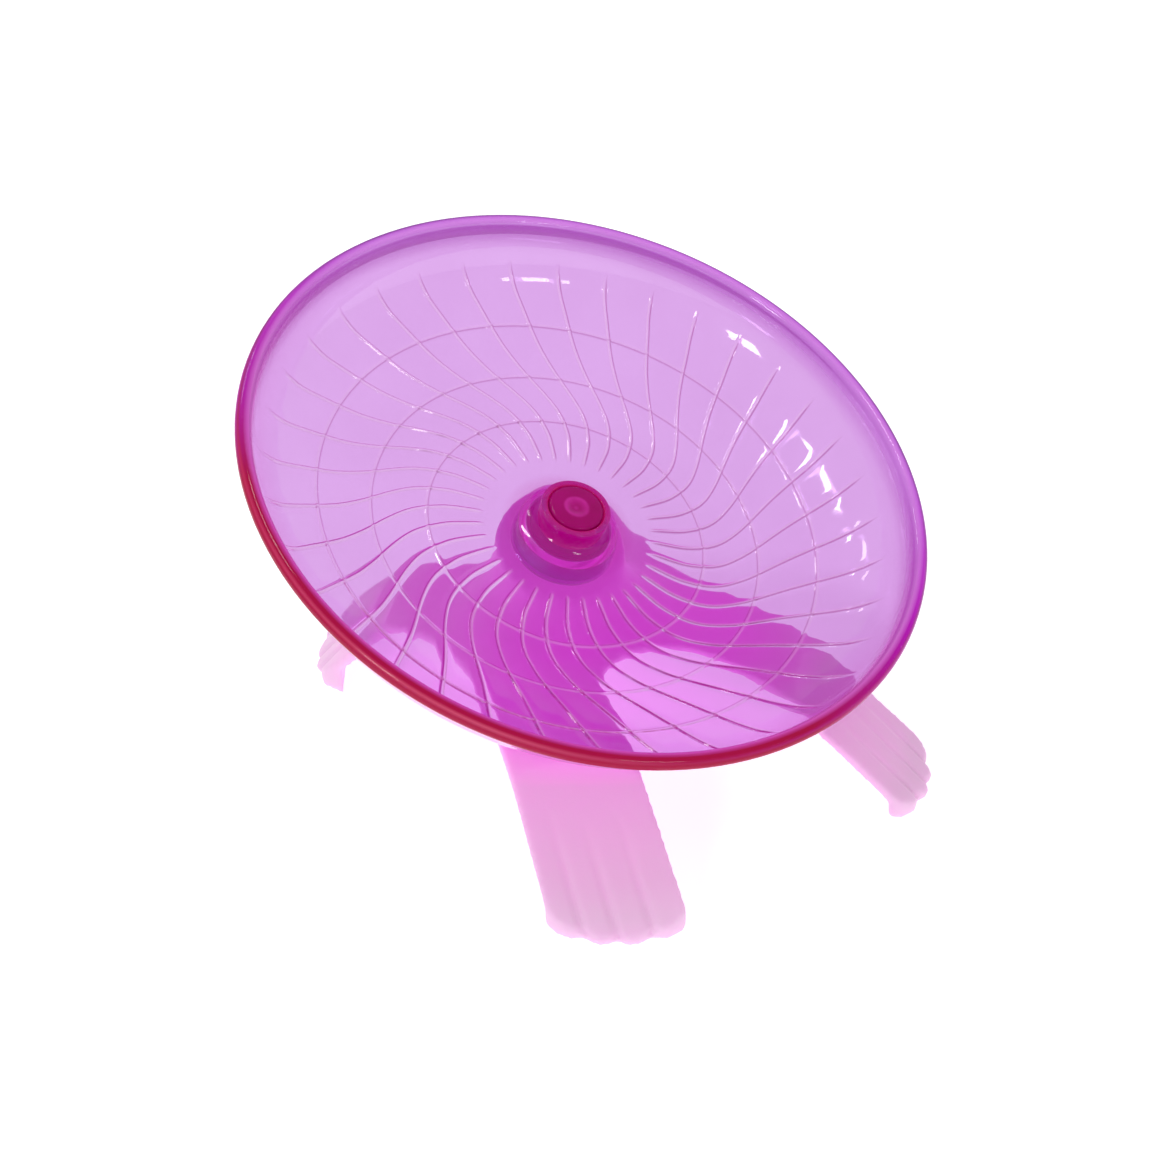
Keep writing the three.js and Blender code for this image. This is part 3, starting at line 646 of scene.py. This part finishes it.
def dome_solid(name, base_radius, edge, height, floor):
    """An oblique dome, flat on top, that falls in a curve from its height to its edge."""
    rings = [ring_of_points(base_radius * DOME_INNERMOST, dome_centre(DOME_INNERMOST), height)]
    for share in [*DOME_INNER_SHARES, *np.linspace(DOME_FLAT, 1, DOME_STEPS)]:
        fall = (max(share - DOME_FLAT, 0) / (1 - DOME_FLAT))**DOME_POWER
        radius = base_radius * share
        level = edge + (height - edge) * (1 - fall)
        rings.append(ring_of_points(radius, dome_centre(radius / DOME_RADIUS), level))
    rings.append(ring_of_points(base_radius, dome_centre(base_radius / DOME_RADIUS), floor))
    return solid_from_rings(name, rings)


def boss_solid(name, inset):
    """The flare from the dome's flat top up to the boss, which is square to the leaning axis."""
    drop = BOSS_TOP - inset
    top = Vector((0, -drop * math.sin(tilt), ring_height + drop * math.cos(tilt)))
    foot = Vector((0, dome_centre(DOME_FLAT), DOME_HEIGHT - inset))
    rings = []
    if inset == 0:
        for turn in np.linspace(0, math.pi / 2, BOSS_ROUND_STEPS + 1)[:-1]:
            along_axis = Vector((0, -math.sin(tilt), math.cos(tilt))) * BOSS_ROUND
            centre = top - along_axis * (1 - math.cos(turn))
            radius = BOSS_RADIUS - BOSS_ROUND * (1 - math.sin(turn))
            rings.append(ring_of_points(radius, centre.y, centre.z, tilt))
    for i in range(0 if inset else 1, BOSS_STEPS + 1):
        turn = math.pi / 2 * i / BOSS_STEPS
        down, out = math.sin(turn), 1 - math.cos(turn)
        centre = top.lerp(foot, down)
        radius = BOSS_RADIUS + (BOSS_FOOT_RADIUS - BOSS_RADIUS) * out - inset
        rings.append(ring_of_points(radius, centre.y, centre.z, tilt * (1 - down)))
    rings.append(ring_of_points(BOSS_FOOT_RADIUS - inset, foot.y, foot.z - STAND_WALL / 2))
    return solid_from_rings(name, rings)


def plan_leg(side, spread, foot, toe_turn, slope, knee_halves):
    """A leg in plan: its centre line, its knee's two edges and the turned line of its toe."""
    apex = Vector((side * spread, APEX_SETBACK))
    foot = Vector((side * foot[0], foot[1]))
    along = (foot - apex).normalized()
    across = Vector((-along.y, along.x))
    knee = apex.lerp(foot, KNEE)
    toe_along = Matrix.Rotation(math.radians(side * toe_turn), 2) @ along
    first, second = knee_halves if side > 0 else reversed(knee_halves)
    return {"foot": foot, "along": along, "across": across, "toe_along": toe_along,
            "toe_across": Vector((-toe_along.y, toe_along.x)), "slope": math.radians(slope),
            "first_knee": knee - across * first, "second_knee": knee + across * second}


LEGS = [plan_leg(1, **FRONT_LEG), plan_leg(1, **REAR_LEG),
        plan_leg(-1, **REAR_LEG), plan_leg(-1, **FRONT_LEG)]


def on_toe(leg, distance, offset):
    return leg["foot"] + leg["toe_along"] * distance + leg["toe_across"] * offset


def toe_bow(offset):
    """How far the toes' front bows out at an offset from its middle."""
    return TOE_REACH * (1 - (offset / TOE_HALF_WIDTH)**2)


def toe_notch(k):
    """Offset of the k-th notch between toes, counting the two edges of the foot."""
    return -TOE_HALF_WIDTH + 2 * TOE_HALF_WIDTH * k / TOE_LOBES


def bezier(points, steps):
    """Points along a Bezier curve, without its first one."""
    out = []
    for t in np.linspace(0, 1, steps + 1)[1:]:
        level = [Vector(p) for p in points]
        while len(level) > 1:
            level = [a.lerp(b, t) for a, b in zip(level, level[1:])]
        out.append(level[0])
    return out


def legs_outline():
    """The four legs in plan, anticlockwise, with scalloped toes and curved webs."""
    outline = []
    for k, leg in enumerate(LEGS):
        here = on_toe(leg, 0, -TOE_HALF_WIDTH)
        outline.append(here)
        for lobe in range(1, TOE_LOBES + 1):
            to = toe_notch(lobe)
            middle = to - TOE_HALF_WIDTH / TOE_LOBES
            end = on_toe(leg, toe_bow(to), to)
            tip = on_toe(leg, toe_bow(middle) + LOBE_RISE, middle)
            outline += bezier([here, tip, end], LOBE_STEPS)
            here = end
        following = LEGS[(k + 1) % len(LEGS)]
        knee, next_knee = leg["second_knee"], following["first_knee"]
        outline.append(knee)
        reach = (knee - next_knee).length * WEB_SHARES[k]
        outline += bezier([knee, knee - leg["along"] * reach,
                           next_knee - following["along"] * reach, next_knee], WEB_STEPS)
    return outline


def box_over_toe(name, leg, depth, low, slope, lift):
    """A box over a leg's toe, in line with its tips and climbing inward at a slope."""
    bm = bmesh.new()
    bmesh.ops.create_cube(bm, size=1.0)
    mesh = mesh_from(name, bm)
    tip = on_toe(leg, TOE_REACH, 0)
    turn = math.atan2(leg["toe_along"].y, leg["toe_along"].x) - math.pi / 2
    size = Matrix.Diagonal((4 * TOE_HALF_WIDTH * MM, depth * MM, (CUTTER - low) * MM, 1))
    mesh.transform(
        Matrix.Translation((tip.x * MM, tip.y * MM, lift * MM))
        @ Matrix.Rotation(turn, 4, "Z")
        @ Matrix.Rotation(-slope, 4, "X")
        @ Matrix.Translation((0, 0, (low + CUTTER) / 2 * MM))
        @ size)
    return in_scene(name, mesh)


def above_toe(leg, sink):
    lift = TOE_TIP_HEIGHT - sink / math.cos(leg["slope"])
    return box_over_toe("above_toe", leg, 2 * CUTTER, 0, leg["slope"], lift)


def sole_space(leg):
    return box_over_toe("sole_space", leg, 2 * SOLE_DEPTH, -CUTTER, 0, 0)


def baked_mesh(thing):
    """The mesh of an object with its modifiers applied."""
    evaluated = thing.evaluated_get(bpy.context.evaluated_depsgraph_get())
    return bpy.data.meshes.new_from_object(evaluated)


def combine(base, other, operation):
    change = base.modifiers.new("cut", "BOOLEAN")
    change.object = other
    change.operation = operation
    change.solver = "EXACT"
    mesh = baked_mesh(base)
    base.modifiers.clear()
    base.data = mesh
    bpy.data.objects.remove(other)


def turned_solid(name, profile, closed):
    return in_scene(name, turned_mesh(name, profile, SOCKET_SEGMENTS, closed))


def stand_form():
    """The stand as a crisp solid: dome and boss cut to the legs' outline, then hollowed."""
    form = dome_solid("stand_form", DOME_RADIUS, DOME_EDGE, DOME_HEIGHT, DOME_FLOOR)
    hollow = dome_solid("hollow", DOME_RADIUS - RIM_WALL, 0.0, DOME_HEIGHT - STAND_WALL,
                        HOLLOW_FLOOR)
    for leg in LEGS:
        combine(form, above_toe(leg, 0), "DIFFERENCE")
        combine(hollow, above_toe(leg, STAND_WALL), "DIFFERENCE")
        combine(hollow, sole_space(leg), "DIFFERENCE")
    outline = legs_outline()
    prism = solid_from_rings("prism", [[(p.x, p.y, z) for p in outline] for z in OUTLINE_LEVELS])
    combine(form, boss_solid("boss", 0), "UNION")
    combine(form, prism, "INTERSECT")
    combine(form, hollow, "DIFFERENCE")
    combine(form, boss_solid("boss_hollow", STAND_WALL), "DIFFERENCE")
    bottom, top = BOSS_TOP - SOCKET_DEPTH, BOSS_TOP - SOCKET_SINK
    outer = SOCKET_BORE + SOCKET_WALL
    socket = [(SOCKET_BORE, bottom), (outer, bottom), (outer, top), (SOCKET_BORE, top)]
    combine(form, turned_solid("socket", socket, True), "UNION")
    low, high = bottom - BORE_OVERRUN, BOSS_TOP + BORE_OVERRUN
    bore = [(0, low), (SOCKET_BORE, low), (SOCKET_BORE, high), (0, high)]
    combine(form, turned_solid("bore", bore, False), "DIFFERENCE")
    return form


def soften(form):
    """Rebuilds a crisp solid in even small faces and eases all its edges."""
    remesh = form.modifiers.new("even", "REMESH")
    remesh.mode = "VOXEL"
    remesh.voxel_size = STAND_VOXEL * MM
    smooth = form.modifiers.new("ease", "SMOOTH")
    smooth.factor = EASE_FACTOR
    smooth.iterations = EASE_PASSES
    mesh = baked_mesh(form)
    bpy.data.objects.remove(form)
    return mesh


def groove_toes(mesh):
    """Presses the shallow grooves that run up each leg from between its toes."""
    count = len(mesh.vertices)
    places, normals = np.zeros(count * 3), np.zeros(count * 3)
    mesh.vertices.foreach_get("co", places)
    mesh.vertex_normals.foreach_get("vector", normals)
    places, normals = places.reshape(-1, 3) / MM, normals.reshape(-1, 3)
    depth = np.zeros(count)
    for leg in LEGS:
        for k in range(1, TOE_LOBES):
            offset = toe_notch(k)
            from_notch = places[:, :2] - np.array(on_toe(leg, toe_bow(offset), offset))
            inward = -from_notch @ np.array(leg["along"])
            across = from_notch @ np.array(leg["across"])
            near = (inward > TOE_GROOVE_START) & (normals[:, 2] > FACES_UP)
            fade = np.clip(1 - inward / TOE_GROOVE_LENGTH, 0, 1)
            depth += near * fade * np.exp(-(across / TOE_GROOVE_WIDTH)**2) * TOE_GROOVE_DEPTH
    places -= normals * depth[:, None]
    places[:, 2] = np.maximum(places[:, 2], 0)
    mesh.vertices.foreach_set("co", (places * MM).ravel())
    mesh.update()


def make_stand():
    mesh = soften(stand_form())
    groove_toes(mesh)
    return finish_piece("frosted_stand", mesh, "stand_body", ["stand"],
                        sharp=60)


stand = make_stand()


# Finishes
class Value:
    """A shader socket that takes part in arithmetic."""

    def __init__(self, finish, socket):
        self.finish = finish
        self.socket = socket

    def maths(self, operation, first, second):
        return self.finish.node("ShaderNodeMath", {"operation": operation}, {0: first, 1: second})

    def __add__(self, other):
        return self.maths("ADD", self, other)

    __radd__ = __add__

    def __sub__(self, other):
        return self.maths("SUBTRACT", self, other)

    def __rsub__(self, other):
        return self.maths("SUBTRACT", other, self)

    def __mul__(self, other):
        return self.maths("MULTIPLY", self, other)

    __rmul__ = __mul__

    def __truediv__(self, other):
        return self.maths("DIVIDE", self, other)

    def clamped(self):
        return self.finish.node("ShaderNodeClamp", {}, {"Value": self})

    def climb(self, start, end):
        """From 0 at the start to 1 at the end, and level beyond both."""
        return ((self - start) / (end - start)).clamped()


class Finish:
    """One procedural material, built node by node."""

    def __init__(self, name):
        self.material = bpy.data.materials.new(name)
        self.material.use_nodes = True
        self.tree = self.material.node_tree
        self.tree.nodes.clear()

    def node(self, kind, settings, sockets, out=0):
        """Adds a node with its settings, then its sockets' values or links. Gives an output."""
        node = self.tree.nodes.new(kind)
        for key, value in settings.items():
            setattr(node, key, value)
        for key, value in sockets.items():
            socket = node.inputs[key]
            if isinstance(value, Value):
                self.tree.links.new(value.socket, socket)
            elif socket.type == "RGBA":
                socket.default_value = (*value, 1)
            else:
                socket.default_value = value
        return Value(self, node.outputs[out]) if node.outputs else None

    def own_place(self):
        return self.node("ShaderNodeTexCoord", {}, {}, "Object")

    def place(self, axis):
        """The object's own coordinate along an axis, in millimetres."""
        return self.node("ShaderNodeSeparateXYZ", {}, {0: self.own_place()}, axis) / MM

    def noise(self, scale, detail=3.0, roughness=0.5, stretch=(1, 1, 1)):
        """Noise from 0 to 1 in the object's own space, with its scale in cycles a metre."""
        mapped = self.node("ShaderNodeMapping", {}, {"Vector": self.own_place(), "Scale": stretch})
        return self.node("ShaderNodeTexNoise", {}, {
            "Vector": mapped, "Scale": scale, "Detail": detail, "Roughness": roughness})

    def blend(self, factor, first, second):
        """A colour mixed from two."""
        return self.node("ShaderNodeMix", {"data_type": "RGBA"},
                         {0: factor, 6: first, 7: second}, 2)

    def bump(self, height, strength, distance):
        """Fine relief, with its distance in metres."""
        return self.node("ShaderNodeBump", {}, {
            "Height": height, "Strength": strength, "Distance": distance})

    def attribute(self, name, out):
        return self.node("ShaderNodeAttribute", {"attribute_name": name}, {}, out)

    def shader(self, **sockets):
        return self.node("ShaderNodeBsdfPrincipled", {}, {
            key.replace("_", " "): value for key, value in sockets.items()})

    def show(self, shader):
        self.node("ShaderNodeOutputMaterial", {}, {"Surface": shader})
        return self.material

    def surface(self, **sockets):
        return self.show(self.shader(**sockets))


def clear_violet():
    """Clear tinted plastic, deeper in colour where it is thick, with painted light round the lip,
    painted shade and highlight lines along ribs and ridges, and a painted glow.
    """
    finish = Finish("clear_violet_moulding")
    flow = finish.noise(scale=45.0, detail=2.0)
    scuffs = finish.noise(scale=420.0, detail=5.0, roughness=0.65)
    ripple = finish.bump(finish.noise(scale=60.0, detail=2.0), strength=0.02, distance=0.001)
    clear = finish.shader(
        Base_Color=finish.blend(flow, (0.42, 0.28, 0.54), (0.46, 0.32, 0.59)),
        Roughness=0.03 + 0.05 * scuffs,
        IOR=1.45,
        Transmission_Weight=1.0,
        # A faint painted magenta glow over all of the clear plastic
        Emission_Color=(0.09, 0.0, 0.06),
        Emission_Strength=1.0,
        Normal=ripple,
    )
    # The deep colour: the lip's and hub's own depth of colour, with painted light round the lip
    # and the painted shade and highlight lines
    own = finish.attribute("deep_and_painted_colour", "Color")
    deep = finish.shader(
        Base_Color=finish.blend(0.4 + 0.1 * flow, own, (0.0, 0.0, 0.0)),
        Roughness=0.05 + 0.05 * scuffs,
        Specular_IOR_Level=0.14,
        # Painted glow: part of the deep colour is given off as light
        Emission_Color=own,
        Emission_Strength=0.45,
        Normal=ripple,
    )
    depth = finish.attribute("depth", "Fac").clamped()
    return finish.show(finish.node("ShaderNodeMixShader", {}, {0: depth, 1: clear, 2: deep}))


def frosted_pink():
    """Translucent plastic, paler towards the toes, with a painted glow that is strongest high up
    at the front.
    """
    finish = Finish("frosted_pink_moulding")
    cloud = finish.noise(scale=28.0)
    grain = finish.noise(scale=1400.0, detail=4.0, roughness=0.6)
    level = finish.place("Z") + (cloud - 0.5) * 4.0
    height = level.climb(start=4.0, end=26.0)
    # A painted glow, strongest high up under the saucer and halved towards the back
    front = 1.0 - 0.5 * finish.place("Y").climb(start=-5.0, end=30.0)
    painted_glow = level.climb(start=21.0, end=29.0) * front
    return finish.surface(
        Base_Color=finish.blend(height, (0.62, 0.44, 0.60), (0.76, 0.38, 0.68)),
        Roughness=0.36 + 0.14 * grain,
        IOR=1.5,
        Specular_IOR_Level=0.35,
        Subsurface_Weight=0.35,
        Subsurface_Radius=(1.0, 0.5, 0.9),
        Subsurface_Scale=0.006,
        # Painted glow: a faint one all over, brighter high up at the front
        Emission_Color=finish.blend(painted_glow, (0.22, 0.10, 0.18), (0.60, 0.02, 0.48)),
        Emission_Strength=1.0,
        Normal=finish.bump(grain, strength=0.12, distance=0.0002),
    )


def deep_magenta():
    """Glossy plastic with a cloudy colour, paler round its dimple."""
    finish = Finish("deep_magenta_moulding")
    swirl = finish.noise(scale=180.0, detail=2.0)
    scuffs = finish.noise(scale=900.0, detail=5.0, roughness=0.65)
    body = finish.blend(swirl, (0.30, 0.0, 0.10), (0.42, 0.0, 0.18))
    dimple = finish.attribute("dimple", "Fac") * swirl
    return finish.surface(
        Base_Color=finish.blend(dimple, body, (0.85, 0.05, 0.55)),
        Roughness=0.08 + 0.10 * scuffs,
        Specular_IOR_Level=0.12,
        Normal=finish.bump(scuffs, strength=0.08, distance=0.0002),
    )


def steel(name, dark, light, smooth, rough, scale, stretch=(1, 1, 1)):
    """Metal with fine lines, between a smooth and a rough roughness."""
    finish = Finish(name)
    lines = finish.noise(scale, detail=4.0, roughness=0.6, stretch=stretch)
    return finish.surface(
        Base_Color=finish.blend(finish.noise(scale=150.0), dark, light),
        Metallic=1.0,
        Roughness=smooth + (rough - smooth) * lines,
        Normal=finish.bump(lines, strength=0.1, distance=0.0001),
    )


def white_nylon():
    finish = Finish("moulded_nylon")
    grain = finish.noise(scale=1200.0, detail=4.0)
    shade = finish.noise(scale=90.0)
    return finish.surface(
        Base_Color=finish.blend(shade, (0.78, 0.76, 0.69), (0.84, 0.82, 0.76)),
        Roughness=0.42 + 0.15 * grain,
        Normal=finish.bump(grain, strength=0.15, distance=0.0002),
    )


def pale_floor():
    finish = Finish("pale_floor")
    return finish.surface(
        Base_Color=finish.blend(finish.noise(scale=3.0), (0.90, 0.90, 0.90), (0.92, 0.92, 0.92)),
        Roughness=0.9,
        Emission_Color=(AMBIENT, AMBIENT, AMBIENT),
        Emission_Strength=1.0,
    )


def paint(material, *pieces):
    for piece in pieces:
        piece.data.materials.clear()
        piece.data.materials.append(material)


nodes = frame["nodes"]
balls = [nodes[f"bearing_ball_{i}"] for i in range(1, 8)]
paint(clear_violet(), saucer)
paint(frosted_pink(), stand)
paint(deep_magenta(), hub_cap)
paint(steel("ground_steel", dark=(0.55, 0.56, 0.58), light=(0.66, 0.67, 0.69), smooth=0.12,
            rough=0.24, scale=900.0, stretch=(1, 1, 8)),
      outer_ring, inner_ring, nodes["spindle"], *balls)
paint(steel("zinc_plate", dark=(0.46, 0.47, 0.49), light=(0.56, 0.56, 0.57), smooth=0.26,
            rough=0.42, scale=600.0),
      top_shield, bottom_shield, nodes["retaining_washer"], nodes["retaining_screw"])
paint(white_nylon(), nodes["bearing_cage"])


# Floor, light and camera
def make_floor():
    bm = bmesh.new()
    bmesh.ops.create_grid(bm, x_segments=1, y_segments=1, size=FLOOR_HALF)
    floor = in_scene("floor", mesh_from("floor", bm))
    floor.location.z = -FLOOR_DROP
    paint(pale_floor(), floor)


def make_light(name, place, size, power):
    data = bpy.data.lights.new(name, "AREA")
    data.shape = "RECTANGLE"
    data.size, data.size_y = size
    data.energy = power
    light = in_scene(name, data)
    light.location = place
    aim = Vector(LIT_POINT) - Vector(place)
    light.rotation_euler = aim.to_track_quat("-Z", "Y").to_euler()


def make_world():
    world = bpy.data.worlds.new("studio")
    world.use_nodes = True
    background = world.node_tree.nodes["Background"]
    background.inputs["Color"].default_value = (1, 1, 1, 1)
    background.inputs["Strength"].default_value = AMBIENT
    bpy.context.scene.world = world


def make_camera():
    data = bpy.data.cameras.new("camera")
    data.sensor_width = CAMERA_SENSOR
    data.sensor_height = CAMERA_SENSOR
    data.lens = CAMERA_LENS
    data.clip_start, data.clip_end = CAMERA_RANGE
    camera = in_scene("camera", data)
    looking = Vector(CAMERA_LOOKING).normalized()
    right = Vector(CAMERA_RIGHT).normalized()
    up = right.cross(looking).normalized()
    turn = Matrix((right, up, -looking)).transposed()
    place = ring_middle + Vector(CAMERA_FROM_RING)
    camera.matrix_world = Matrix.Translation(place) @ turn.to_4x4()
    bpy.context.scene.camera = camera


make_floor()
for softbox in SOFTBOXES:
    make_light(*softbox)
make_world()
make_camera()
bpy.context.scene.view_settings.view_transform = "Standard"
